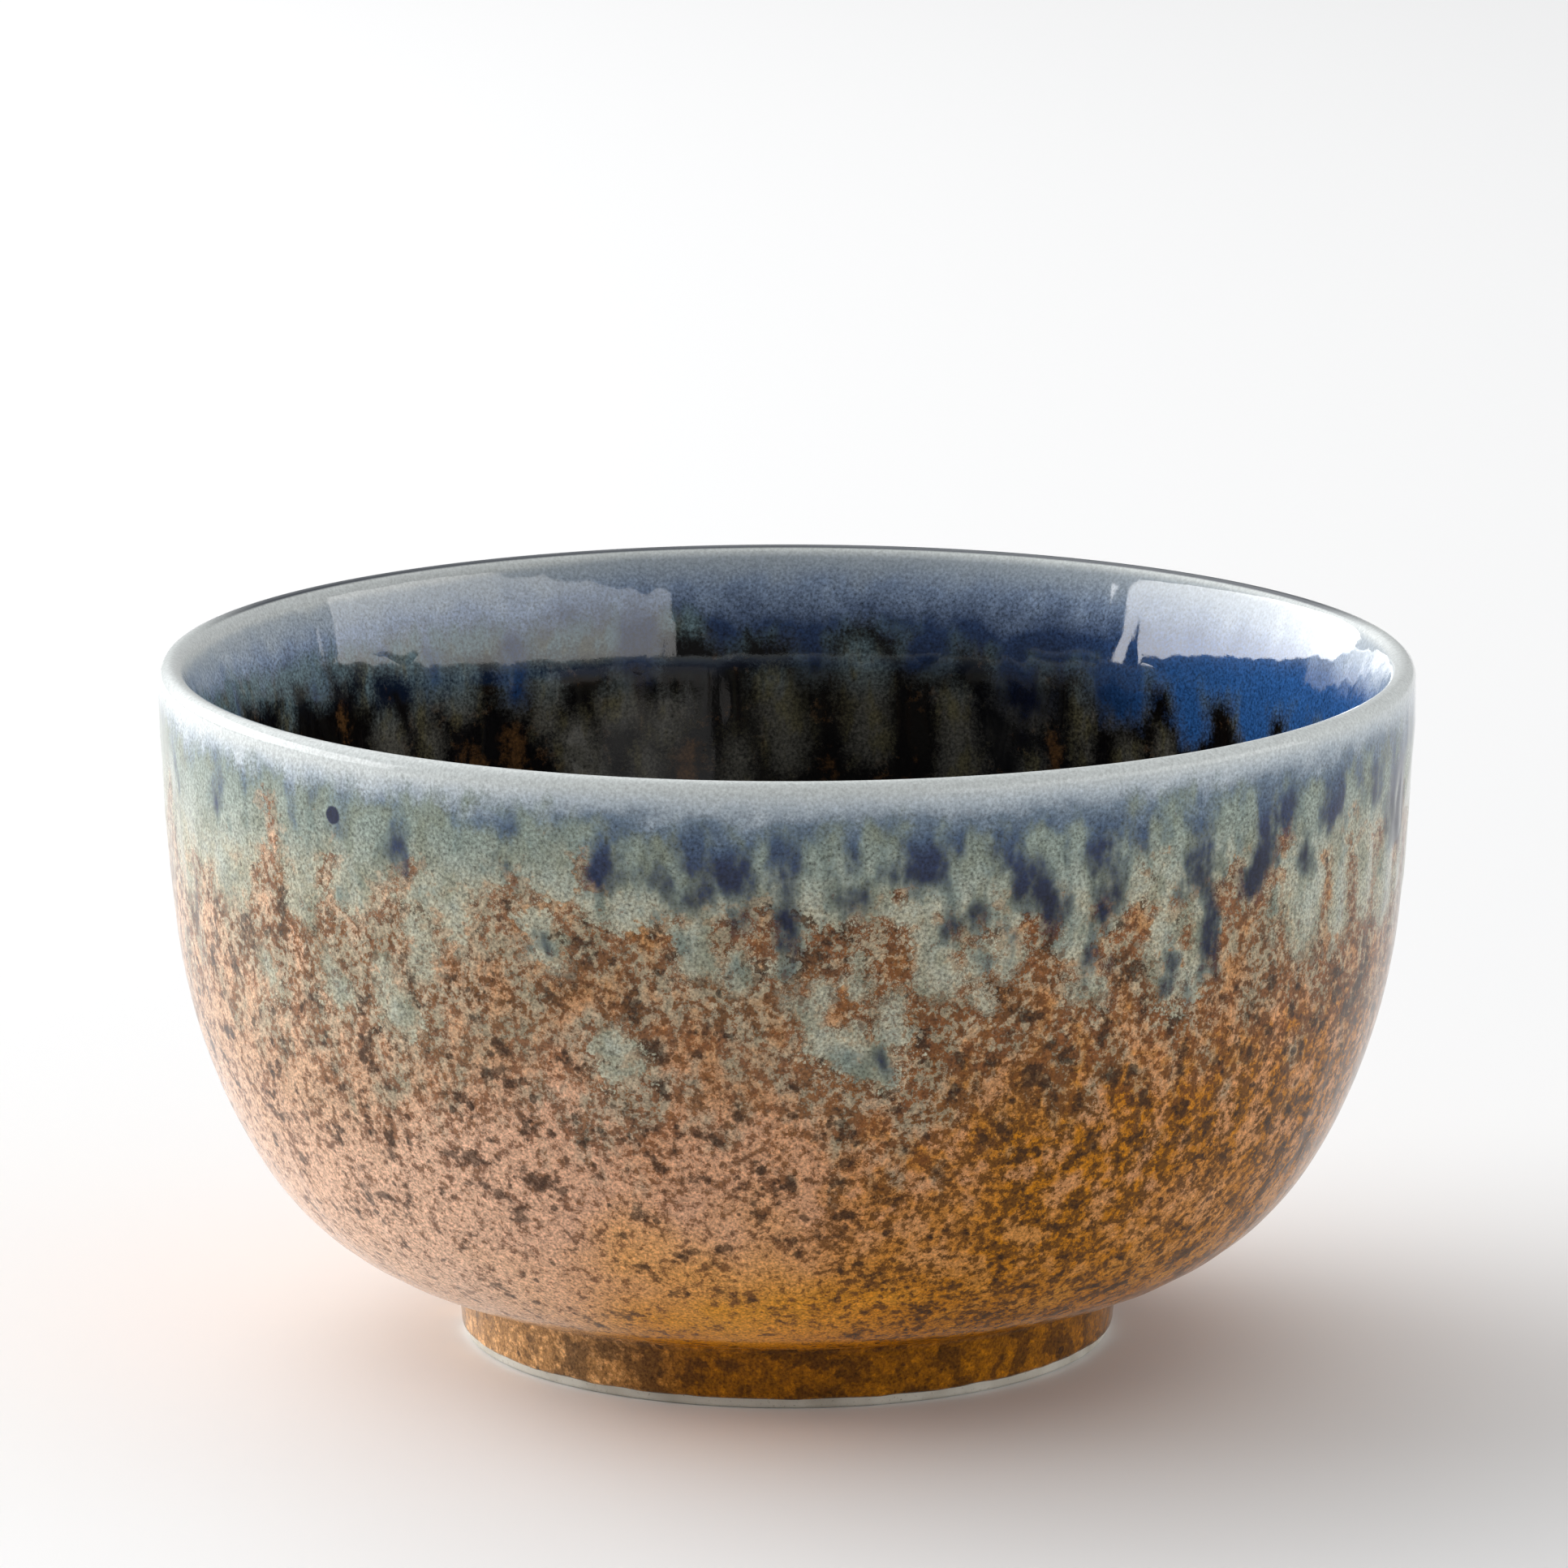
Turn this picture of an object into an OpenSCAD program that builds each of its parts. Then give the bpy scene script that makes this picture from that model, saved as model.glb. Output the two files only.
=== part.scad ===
// Matcha bowl: a thrown clay bowl on a foot ring, glazed in separate coats.
// Millimetres. The origin is the centre of the circle on which the foot stands, and +Z is up.
//
// Every piece is turned round the Z axis. A curved wall is a chain of arcs that meet tangent
// to tangent. A station on a chain is [radius, height, lean], and lean is the angle between
// the wall and the vertical: 0 on an upright wall and 90 on a level floor.

/* [Bowl] */
// Outer diameter over the glazed lip
rim_d = 120; // [106:1:134]
// Height from the standing plane to the top of the lip
bowl_h = 66; // [60:0.5:76]
// Half of the lip's finished thickness, which is also the radius of its rounded top
lip_r = 1.2; // [1:0.05:2]

/* [Outer curve] */
// Lean of the wall at the lower end of the long upper arc
upper_lean = 6.3; // [4:0.1:8]
// Lean where the shoulder arc hands over to the belly arc
shoulder_lean = 30.9; // [26:0.1:36]
// Lean where the belly reaches the foot ring
foot_lean = 82.2; // [76:0.1:85]
// Radius of the shoulder arc
shoulder_r = 55; // [45:0.5:60]

/* [Inner curve] */
// Lean of the inner wall where it leaves the rounded lip
lip_lean = 23; // [16:0.5:27]
// Radius of the hollow arc that eases this lean, so that the wall thins towards the lip
ease_r = 40; // [32:1:46]
// Lean of the inner wall where it is steepest, at the lower end of that arc
steep_lean = 4.5; // [3:0.1:6]
// Lean of the inner wall at the lower end of its long upper arc
inner_upper_lean = 7; // [6.5:0.1:9]
// Lean of the inner wall at the lower end of its shoulder arc
inner_shoulder_lean = 32; // [28:0.1:36]
// Lean where the inner wall hands over to the broad floor arc
floor_lean = 84; // [80:0.1:86]
// Radius of the inner shoulder arc
inner_shoulder_r = 50; // [44:0.5:54]
// Radius of the corner between the inner wall and the floor
floor_corner_r = 21; // [17:0.5:24]
// Height of the finished floor on the axis
floor_z = 10.3; // [9.6:0.1:12]

/* [Foot ring] */
// Outer diameter of the bare foot where it stands
foot_d = 62; // [56:1:68]
// Height of the foot, up to the crease under the bowl
foot_h = 6.3; // [5:0.1:7.5]
// How far the foot leans out, as a gain in radius from its base to the crease
foot_flare = 0.95; // [0:0.05:2]
// Radial thickness of the ring at its base
ring_wall = 3.4; // [2.6:0.1:5]
// Radius of the two tooled edges beside the standing face
ring_edge_r = 0.5; // [0.2:0.05:0.8]

/* [Glaze] */
// Thickness of the base coats
base_t = 0.25; // [0.15:0.01:0.3]
// Thickness of the rim coat where it leaves the lip
rim_lip_t = 0.15; // [0.1:0.01:0.25]
// Extra thickness of the rim coat half-way down to its drip line
rim_belly_t = 0.2; // [0:0.01:0.35]
// Thickness of the rim coat at its drip line
rim_edge_t = 0.1; // [0.05:0.01:0.2]
// Height of the drip line outside, as a mean of its drips
drip_out_z = 48; // [46:0.5:54]
// Height of the drip line inside, as a mean of its drips
drip_in_z = 47; // [46:0.5:54]
// Height at which the glaze stops on both sides of the foot ring
bare_h = 0.95; // [0.9:0.05:2]
// Radius of the pooled glaze in the corner of the foot recess
pool_r = 1.3; // [0.5:0.1:2]

/* [Hidden] */

ARC_STEPS = 14;          // stations on one arc of a wall
EDGE_STEPS = 10;         // stations on the lip, an edge or a pooled corner
ROUND = 128;             // facets of the preview round the axis

lip_x = rim_d / 2 - lip_r;                     // radius at the middle of the lip
lip_z = bowl_h - lip_r;                        // height where the lip's rounding starts
clay_lip_r = lip_r - base_t - rim_lip_t;
coated_lip_r = lip_r - rim_lip_t;              // half thickness of the lip with its base coats
foot_r = foot_d / 2;
foot_top_r = foot_r + foot_flare;              // bare radius of the ring at the crease
recess_r = foot_r - ring_wall;
foot_wall_lean = atan(foot_flare / foot_h);

// Change of [radius, height] down an arc of radius 1 from lean a to lean b. An arc whose lean
// falls on the way down has a negative radius.
function reach(a, b) = [cos(b) - cos(a), sin(a) - sin(b)];

// Stations on an arc of radius r that starts at p with lean a and ends with lean b
function turn(p, r, a, b, n) = [
    for (i = [0:n])
        let (t = a + (b - a) * i / n, d = r * reach(a, t))
        [p[0] + d[0], p[1] + d[1], t]
];

// Sum of the reaches of the inner arcs of a chain, whose radii mid[] are given
function mid_reach(lean, mid, i = 0) =
    i == len(mid) ? [0, 0]
    : mid[i] * reach(lean[i + 1], lean[i + 2]) + mid_reach(lean, mid, i + 1);

// Radii of all arcs of a chain from p to q. The first and the last follow from where it ends.
function radii(p, q, lean, mid) =
    let (
        last = len(lean) - 1,
        gap = q - p - mid_reach(lean, mid),
        u = reach(lean[0], lean[1]),
        v = reach(lean[last - 1], lean[last])
    )
    concat([cross(gap, v) / cross(u, v)], mid, [cross(u, gap) / cross(u, v)]);

// All stations of a chain that starts at p. Each joint is listed once.
function chain(p, r, lean, i = 0) =
    let (arc = turn(p, r[i], lean[i], lean[i + 1], ARC_STEPS), end = arc[ARC_STEPS])
    i == len(r) - 1 ? arc
    : concat([for (k = [0:ARC_STEPS - 1]) arc[k]], chain([end[0], end[1]], r, lean, i + 1));

// The stations of a run above height z, and a last one on the wall at z
function above(run, z) =
    let (
        n = len([for (s = run) if (s[1] > z) s]),
        p = run[n - 1],
        q = run[n]
    )
    concat([for (i = [0:n - 1]) run[i]], [p + (q - p) * (p[1] - z) / (p[1] - q[1])]);

// Points at distance t on the outer side of a run of stations
function skin(run, t) = [for (s = run) [s[0] + t * cos(s[2]), s[1] - t * sin(s[2])]];

function backwards(list) = [for (i = [len(list) - 1:-1:0]) list[i]];
function from_second(list) = [for (i = [1:len(list) - 1]) list[i]];

// Points on a circle of radius r round c, from angle a to angle b
function bend(c, r, a, b) = [
    for (i = [0:EDGE_STEPS])
        let (t = a + (b - a) * i / EDGE_STEPS)
        [c[0] + r * cos(t), c[1] + r * sin(t)]
];

// Surface of the outer base coat, from the lip to the crease above the foot
outer_start = [lip_x + coated_lip_r, lip_z];
outer_end = [foot_top_r + base_t, foot_h];
outer_lean = [0, upper_lean, shoulder_lean, foot_lean];
outer_radii = radii(outer_start, outer_end, outer_lean, [shoulder_r]);
outer_run = chain(outer_start, outer_radii, outer_lean);

// Surface of the inner base coat, from the lip to the axis
inner_start = [lip_x - coated_lip_r * cos(lip_lean), lip_z + coated_lip_r * sin(lip_lean)];
inner_end = [0, floor_z];
ease_end = inner_start - ease_r * reach(lip_lean, steep_lean);
inner_lean = [lip_lean, steep_lean, inner_upper_lean, inner_shoulder_lean, floor_lean, 90];
inner_radii = concat(
    [-ease_r],
    radii(ease_end, inner_end, from_second(inner_lean), [inner_shoulder_r, floor_corner_r])
);
inner_run = chain(inner_start, inner_radii, inner_lean);

// The stretches of both surfaces that the rim coat covers
rim_out_run = above(outer_run, drip_out_z);
rim_in_run = above(inner_run, drip_in_z);

// Thickness of the rim coat at the share u of the way down from the lip to the drip line
function rim_t(u) = rim_lip_t + (rim_edge_t - rim_lip_t) * u + rim_belly_t * 4 * u * (1 - u);

// Free surface of the rim coat over a run of stations, on side +1 (outside) or -1 (inside)
function rim_skin(run, side) =
    let (top_z = run[0][1], drip_z = run[len(run) - 1][1])
    [
        for (s = from_second(run))
            let (t = side * rim_t((top_z - s[1]) / (top_z - drip_z)))
            [s[0] + t * cos(s[2]), s[1] - t * sin(s[2])]
    ];

// Radius of the bare ring's outer wall at height z
function foot_wall(z) = foot_r + foot_flare * z / foot_h;

// Turns an outline of [radius, height] points round the Z axis
module turned(points) {
    rotate_extrude($fn = ROUND) polygon(points);
}

// Bowl wall and floor, with a flat seat for the foot ring underneath
module clay_body() {
    color([0.80, 0.78, 0.73])
        turned(concat(
            bend([lip_x, lip_z], clay_lip_r, 180 - lip_lean, 0),
            from_second(skin(outer_run, -base_t)),
            [[foot_top_r, foot_h], [0, foot_h]],
            backwards(from_second(skin(inner_run, base_t)))
        ));
}

// Ring that carries the bowl. Its standing face and both tooled edges stay bare.
module foot_ring() {
    edge_x = foot_r + ring_edge_r * (tan(foot_wall_lean) - 1 / cos(foot_wall_lean));
    color([0.80, 0.78, 0.73])
        turned(concat(
            [[foot_top_r, foot_h]],
            bend([edge_x, ring_edge_r], ring_edge_r, -foot_wall_lean, -90),
            bend([recess_r + ring_edge_r, ring_edge_r], ring_edge_r, 270, 180),
            [[recess_r, foot_h]]
        ));
}

// Dark lining, poured into the bowl
module inner_glaze() {
    color([0.23, 0.19, 0.17])
        turned(concat(skin(inner_run, 0), backwards(skin(inner_run, base_t))));
}

// Amber base coat on the outer wall, down to the crease above the foot
module outer_glaze() {
    color([0.68, 0.48, 0.30])
        turned(concat(
            skin(outer_run, 0),
            [[foot_top_r, foot_h]],
            backwards(skin(outer_run, -base_t))
        ));
}

// Blue-grey coat that hooks over the lip and runs down both sides to its drip lines
module rim_glaze() {
    color([0.52, 0.58, 0.64])
        turned(concat(
            backwards(rim_skin(rim_in_run, -1)),
            bend([lip_x, lip_z], lip_r, 180 - lip_lean, 0),
            rim_skin(rim_out_run, 1),
            backwards(skin(rim_out_run, 0)),
            bend([lip_x, lip_z], clay_lip_r, 0, 180 - lip_lean),
            skin(rim_in_run, 0)
        ));
}

// Amber coat on the foot's outer wall, which stops above the bare standing edge
module foot_glaze() {
    color([0.40, 0.25, 0.09])
        turned([
            [foot_top_r, foot_h],
            [foot_top_r + base_t, foot_h],
            [foot_wall(bare_h + base_t) + base_t, bare_h + base_t],
            [foot_wall(bare_h), bare_h]
        ]);
}

// Amber coat inside the foot: under the floor and down the ring's inner wall
module recess_glaze() {
    ceiling_z = foot_h - base_t;
    wall_x = recess_r - base_t;
    color([0.60, 0.42, 0.24])
        turned(concat(
            [[0, foot_h], [0, ceiling_z]],
            bend([wall_x - pool_r, ceiling_z - pool_r], pool_r, 90, 0),
            [[wall_x, bare_h + base_t], [recess_r, bare_h], [recess_r, foot_h]]
        ));
}

clay_body();
foot_ring();
inner_glaze();
outer_glaze();
rim_glaze();
foot_glaze();
recess_glaze();
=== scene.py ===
"""Looks of the matcha bowl: fine glaze and clay surfaces on the CAD profile, their materials,
a plain studio floor, soft window light and the camera.

Lengths are in millimetres up to the moment when a mesh is written, which is in metres.
Every surface is turned round Z. A point on it is named by its azimuth in degrees, which is
-90 at the front, and by its fall, the distance down the wall from the crown of the lip.
"""

import itertools
import math

import bpy
import numpy as np
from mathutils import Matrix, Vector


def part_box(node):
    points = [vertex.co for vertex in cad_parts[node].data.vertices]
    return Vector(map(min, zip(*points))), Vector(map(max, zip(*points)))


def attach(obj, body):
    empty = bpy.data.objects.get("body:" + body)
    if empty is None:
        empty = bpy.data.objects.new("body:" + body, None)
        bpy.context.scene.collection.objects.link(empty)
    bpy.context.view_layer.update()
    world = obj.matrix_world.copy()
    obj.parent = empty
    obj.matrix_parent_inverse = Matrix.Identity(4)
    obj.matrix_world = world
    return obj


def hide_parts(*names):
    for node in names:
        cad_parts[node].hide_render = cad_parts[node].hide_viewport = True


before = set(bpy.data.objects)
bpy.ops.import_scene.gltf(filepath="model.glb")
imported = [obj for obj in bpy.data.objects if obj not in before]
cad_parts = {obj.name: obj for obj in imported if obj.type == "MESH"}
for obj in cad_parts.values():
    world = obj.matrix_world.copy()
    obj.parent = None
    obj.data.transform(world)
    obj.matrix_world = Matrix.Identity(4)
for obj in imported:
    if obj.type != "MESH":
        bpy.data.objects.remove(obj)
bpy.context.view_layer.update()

MM = 0.001
AZIMUTHS = 640                     # columns of every turned surface
ROW_STEP = 0.58                    # distance between rows where a surface is seen, in mm
UNDER_ROWS = 28                    # rows of a coat's hidden side

# Leans and radii of the wall's arcs, as in the CAD profile. A lean is the angle between the
# wall and the vertical, in degrees.
OUTER_LEANS = (-90, 0, 6.3, 30.9, 82.2)
SHOULDER_R = 55.0
INNER_LEANS = (90, 23, 4.5, 7, 32, 84, 90)
EASE_R = 40.0
INNER_SHOULDER_R = 50.0
FLOOR_CORNER_R = 21.0


# ---------------------------------------------------------------- sizes from the frame


def node_box(node):
    """Lowest and highest corner of a CAD node, in mm."""
    low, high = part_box(node)
    return np.array(low) / MM, np.array(high) / MM


def half_width(node):
    low, high = node_box(node)
    return (high[0] - low[0]) / 2


def lowest(node):
    return node_box(node)[0][2]


def highest(node):
    return node_box(node)[1][2]


CLAY_R = half_width("clay_body")                   # outer radius of the clay at the lip
BASE_T = half_width("outer_glaze") - CLAY_R        # thickness of the base coats
LIP_Z = highest("outer_glaze")                     # height where the lip's rounding starts
LIP_R = highest("rim_glaze") - LIP_Z
LIP_X = CLAY_R - (highest("clay_body") - LIP_Z)    # radius at the middle of the lip
COATED_LIP_R = half_width("outer_glaze") - LIP_X
RIM_LIP_T = LIP_R - COATED_LIP_R
FLOOR_Z = lowest("inner_glaze") + BASE_T
FOOT_H = highest("foot_ring")
FOOT_TOP_R = half_width("foot_ring")
BARE_H = lowest("foot_glaze")
RECESS_R = half_width("recess_glaze")
FOOT_FLARE = 0.95
RING_EDGE_R = 0.5
WALL_R = 60.0                      # radius at which azimuths are turned into millimetres
MM_PER_DEGREE = math.radians(WALL_R)


# ---------------------------------------------------------------- profile


def reach(a, b):
    """Change of (radius, height) down an arc of radius 1 from lean a to lean b, in degrees."""
    a, b = np.radians(a), np.radians(b)
    return np.array([np.cos(b) - np.cos(a), np.sin(a) - np.sin(b)])


class Chain:
    """A profile of arcs that meet tangent to tangent. Its first and last free radii follow
    from the point where it ends."""

    def __init__(self, start, end, leans, lead, mid):
        self.leans = leans
        gap = np.array(end) - start
        radii = list(lead) + [None] + list(mid)
        for radius, (a, b) in zip(radii, zip(leans, leans[1:])):
            if radius is not None:
                gap = gap - radius * reach(a, b)
        first = len(lead)
        matrix = np.column_stack(
            [reach(leans[first], leans[first + 1]), reach(leans[-2], leans[-1])]
        )
        solved = np.linalg.solve(matrix, gap)
        self.radii = list(lead) + [solved[0]] + list(mid) + [solved[1]]
        self.start = np.array(start, float)
        spans = np.radians(np.diff(leans))
        self.lengths = np.abs(self.radii * spans)
        self.ends = np.cumsum(self.lengths)

    def at(self, fall):
        """Radius, height and lean in radians at each distance down the chain."""
        fall = np.clip(np.asarray(fall, float), 0, self.ends[-1])
        radius, height = np.empty_like(fall), np.empty_like(fall)
        lean = np.empty_like(fall)
        point, passed = self.start, 0.0
        for k, (arc_r, length) in enumerate(zip(self.radii, self.lengths)):
            a, b = self.leans[k], self.leans[k + 1]
            on_arc = (fall >= passed - 1e-9) & (fall <= passed + length + 1e-9)
            turned = a + (b - a) * (fall[on_arc] - passed) / length
            step = arc_r * reach(a, turned)
            radius[on_arc], height[on_arc] = point[0] + step[0], point[1] + step[1]
            lean[on_arc] = np.radians(turned)
            point, passed = point + arc_r * reach(a, b), passed + length
        return radius, height, lean


CROWN = (LIP_X, LIP_Z + COATED_LIP_R)
OUTER = Chain(CROWN, (FOOT_TOP_R + BASE_T, FOOT_H), OUTER_LEANS, [COATED_LIP_R], [SHOULDER_R])
INNER = Chain(CROWN, (0, FLOOR_Z), INNER_LEANS, [-COATED_LIP_R, -EASE_R],
              [INNER_SHOULDER_R, FLOOR_CORNER_R])
OUTER_JOINT = OUTER.ends[0]        # fall at which the lip's rounding ends, outside
INNER_JOINT = INNER.ends[0]
CREASE = OUTER.ends[-1]            # fall of the crease above the foot
AXIS = INNER.ends[-1]              # fall of the middle of the floor

AZ = np.linspace(-180, 180, AZIMUTHS, endpoint=False)


# ---------------------------------------------------------------- seeded noise

OCTAVE_SHIFT = 7.3                 # cells between the origins of two octaves


def noise3(points, seed):
    """Smooth noise from -1 to 1 at points given in cells."""
    size = 32
    grid = np.random.default_rng(seed).uniform(-1, 1, (size, size, size))
    cell = np.floor(points).astype(int)
    part = points - cell
    part = part * part * (3 - 2 * part)
    total = np.zeros(points.shape[:-1])
    for corner in itertools.product((0, 1), repeat=3):
        weight = np.ones_like(total)
        for axis, side in enumerate(corner):
            weight = weight * (part[..., axis] if side else 1 - part[..., axis])
        x, y, z = (np.moveaxis(cell, -1, 0) + np.reshape(corner, (3,) + (1,) * total.ndim)) % size
        total += weight * grid[x, y, z]
    return total


def wall_noise(az, fall, across, down, seed, octaves=2):
    """Noise on the wall, in features of the given size in mm across and down it."""
    angle = np.radians(az)
    total = 0.0
    for octave in range(octaves):
        cells = [
            WALL_R * np.cos(angle) / across,
            WALL_R * np.sin(angle) / across,
            fall / down,
        ]
        points = np.stack(cells, -1) * 2**octave + OCTAVE_SHIFT * octave
        total = total + noise3(points, seed + octave) / 2**octave
    return total


# ---------------------------------------------------------------- drips

# Strokes of glaze on the outer wall, listed for the side that faces the viewer:
# (azimuth, fall) where a stroke starts, (azimuth, fall) where it ends, and its half width.
BLUE_DRIPS = [
    (-165, 4, -163, 9, 0.7), (-152, 4, -152, 8.6, 1.3), (-147, 4, -146, 6, 0.8),
    (-139.5, 4, -139.8, 9.5, 0.3), (-133.8, 4, -133.5, 7.3, 0.8), (-127, 3, -126, 10, 0.7),
    (-122, 4.2, -116, 5.6, 1.3), (-110.5, 2.5, -110.5, 4.5, 1.6), (-106.3, 3, -106.2, 8.6, 1.3),
    (-101, 3, -98, 6.5, 2.0), (-97, 4, -94.5, 8.6, 1.8), (-90.7, 3, -90.6, 9, 1.6),
    (-90.2, 8, -90, 15.5, 0.6), (-84.7, 2.5, -84.3, 8.2, 0.9), (-78, 4, -78.6, 8.8, 1.8),
    (-74.8, 3, -75, 6, 1.2), (-71.5, 3, -70, 9, 1.0), (-69.5, 9, -66.5, 12.8, 1.1),
    (-62, 3, -61.8, 8, 2.2), (-61, 8, -60.8, 14.5, 0.8), (-57.3, 3, -57.4, 6.5, 1.4),
    (-51, 3, -50.6, 11.5, 1.5), (-49.8, 11, -49.3, 20.5, 0.6), (-42.5, 4, -43.6, 13.3, 1.5),
    (-40, 4, -40.3, 7.6, 1.1), (-32, 4, -31.6, 8.8, 1.8), (-27.5, 3, -27.5, 5.2, 1.6),
    (-23, 4, -23, 8, 1.2), (-18.5, 5, -18.7, 13.5, 0.9),
    (-116.5, 9, -115.5, 9.2, 0.5), (-132.5, 14.2, -132.3, 14.8, 0.2),
    (-101.5, 9.6, -101, 10.2, 0.4), (-98, 11.5, -98, 13.6, 0.5), (-94, 13.5, -93.8, 14.6, 0.4),
    (-84, 11, -83.8, 12.4, 0.9), (-74.2, 13.2, -74, 14.4, 0.5), (-70.3, 16, -70, 17, 0.5),
    (-62.5, 18.8, -61.5, 19.9, 0.4), (-54.2, 20, -53.8, 21.8, 0.1), (-51.2, 22.6, -50.8, 23.2, 0),
    (-37, 12, -37, 12.8, 0.7), (-112, 16.5, -111.5, 17.3, 0), (-82.5, 26, -82, 26.8, -0.3),
]
SAGE_LOBES = [
    (-163, 12, -162, 17, 2.5), (-152, 14, -150, 16, 3), (-139, 14, -139, 16.6, 1.2),
    (-131.5, 13, -131, 15.5, 1.8), (-121, 13, -120.5, 16.4, 1.6), (-128, 21.5, -127.5, 25, 1.7),
    (-124.5, 17, -124, 20, 1.0), (-112, 14, -112, 17.6, 1.1), (-98, 14, -97.5, 18.5, 1.6),
    (-94.5, 17, -94.5, 19.5, 0.9), (-90, 14, -90, 16.5, 0.8), (-83.5, 15, -83.5, 20, 0.7),
    (-88, 20.5, -87, 24, 1.6), (-81, 21, -81, 24, 1.0), (-76.5, 15, -76, 19, 2.4),
    (-73, 17, -72.5, 20.5, 1.0), (-70, 14, -70, 17.3, 1.6), (-63.5, 14, -62.5, 20.2, 1.8),
    (-54.5, 14, -53.5, 21.5, 2.2), (-50, 14, -49.5, 20.5, 1.2), (-51, 20, -50.5, 23, 1.2),
    (-40, 15, -41, 19, 1.2), (-36, 14, -36, 19, 3.5), (-30, 14, -30, 20, 2.6),
    (-24, 14, -24, 18, 2.5), (-18, 14, -18, 20, 3), (-84, 25, -81.5, 27, 1.8),
    (-106, 25.5, -104.5, 28, 1.2), (-136, 21, -134.5, 23.5, 1.4), (-145, 22.5, -145, 24.5, 1.2),
]
RUST_FINGERS = [
    (-143.3, 7.2, -142.5, 11, 0.8), (-143.5, 13, -143, 17, 1.2), (-135, 11.2, -135.5, 16, 1.0),
    (-124.6, 10.2, -127, 15, 0.8), (-127, 15, -127, 19, 1.3), (-115.5, 12, -116, 18, 2.2),
    (-109, 7.8, -108.5, 8.6, 0.45), (-107.2, 9.8, -106.8, 10.4, 0.45),
    (-106.5, 15.5, -106, 19, 2.8), (-101, 14.6, -101, 18, 1.4), (-93, 15.8, -93, 18, 1.1),
    (-88.3, 16, -88.5, 19, 1.0), (-84.5, 14.6, -85.8, 17.5, 0.8), (-80, 10.2, -79.8, 11.2, 0.4),
    (-80, 15.8, -80, 19, 0.8), (-68.5, 12.9, -68.3, 13.4, 0.5), (-67.3, 17.6, -67, 20, 1.3),
    (-59.7, 16, -57.2, 18.6, 0.9), (-56.4, 10, -56.2, 11.6, 0.4), (-47, 11.8, -46.5, 16, 0.8),
    (-46.5, 15, -45, 20, 1.8), (-40.6, 9, -40.5, 10.8, 0.8), (-40.2, 16.8, -39.8, 18.4, 0.6),
    (-27.6, 12, -28, 15, 0.7),
]
HAND_SPAN = (-168, -14)            # azimuths that the strokes above cover
INK_SPOTS = [(-134.0, 6.9, 0.9)]   # azimuth, fall, radius

# The same on the inner wall, for the side behind the mouth.
INNER_BLUE_DRIPS = [
    (17, 4, 17, 14, 2.5), (24, 4, 24, 16, 2.5), (33, 4, 33, 14, 3.0), (44, 6, 43, 15, 2.0),
    (52, 6, 53, 13, 3.5), (66, 6, 64, 15, 2.5), (74, 6, 75, 11, 2.5), (87, 6, 86.5, 13, 1.5),
    (97, 6, 97, 9, 2.0), (106, 6, 106, 12, 2.5), (119, 6, 120, 14, 1.8), (130, 6, 130, 12, 1.5),
    (137, 6, 136, 8, 1.5), (147, 4, 147, 10, 1.2), (157, 4, 157, 8, 1.2),
]
INNER_LOBES = [
    (161, 5.5, 160.5, 8, 0.8), (152.5, 8, 153, 13, 0.8), (143.5, 7.5, 143, 9, 0.5),
    (139, 9, 139.5, 12, 0.9), (132, 11, 132, 15, 0.7), (126.5, 11.5, 126.5, 14, 1.6),
    (137, 16, 136, 18, 1.4), (131, 17, 130.5, 19, 1.2), (116.5, 14, 116.5, 17, 1.5),
    (113, 19, 112, 22, 2.2), (108, 15, 108, 17, 1.6), (102.5, 17, 103, 19, 1.6),
    (105, 22, 105, 24, 1.4), (91, 14.5, 90.5, 21, 2.2), (82, 13, 81.5, 20, 2.4),
    (71.5, 16.5, 71, 23, 1.9), (77, 9, 76.5, 11, 1.2), (65, 10, 64.5, 12, 1.6),
    (63, 22, 62.5, 24, 1.2), (57.5, 14, 57, 20, 0.8), (51.5, 19.5, 51, 21, 1.4),
    (46.5, 17.5, 46, 20, 1.0), (43.5, 10, 43, 14.5, 1.0), (37, 9, 35.5, 13.5, 0.9),
    (29, 8, 28.5, 10, 0.5), (18.5, 7.5, 18, 10.5, 0.5), (96, 21, 96, 24, 1.2),
]
INNER_RUST = [
    (121, 18.5, 120.5, 22, 1.0), (101, 21.5, 100.5, 24, 0.9), (60.5, 19.5, 60, 23, 0.6),
    (144, 13, 143.5, 15, 0.5), (52.5, 22, 52, 24, 0.5), (86, 22.5, 85, 24, 0.4),
    (34, 16, 33.5, 17, 0.4), (23.5, 11, 23, 12.5, 0.5), (126, 19.5, 125, 21, 0.6),
]
INNER_SPAN = (14, 164)


def random_strokes(seed, az_from, az_to, spacing, top, lengths, widths):
    """Strokes at about even spacing, with random lengths and half widths."""
    rng = np.random.default_rng(seed)
    strokes = []
    az = az_from
    while az < az_to:
        width = rng.uniform(*widths)
        length = rng.uniform(*lengths)
        drift = rng.uniform(-1.5, 1.5)
        strokes.append((az, top, az + drift, top + length, width))
        az += spacing * rng.uniform(0.6, 1.5)
    return strokes


def stroke_field(az, fall, strokes):
    """Distance inside the nearest stroke's edge in mm, below 0 outside every stroke."""
    best = np.full(az.shape, -50.0)
    for az_a, fall_a, az_b, fall_b, width in strokes:
        across = ((az - az_a + 180) % 360 - 180) * MM_PER_DEGREE
        run = np.array([(az_b - az_a) * MM_PER_DEGREE, fall_b - fall_a])
        share = (across * run[0] + (fall - fall_a) * run[1]) / (run @ run)
        share = np.clip(share, 0, 1)
        gap = np.hypot(across - share * run[0], fall - fall_a - share * run[1])
        best = np.maximum(best, width - gap)
    return best


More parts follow.
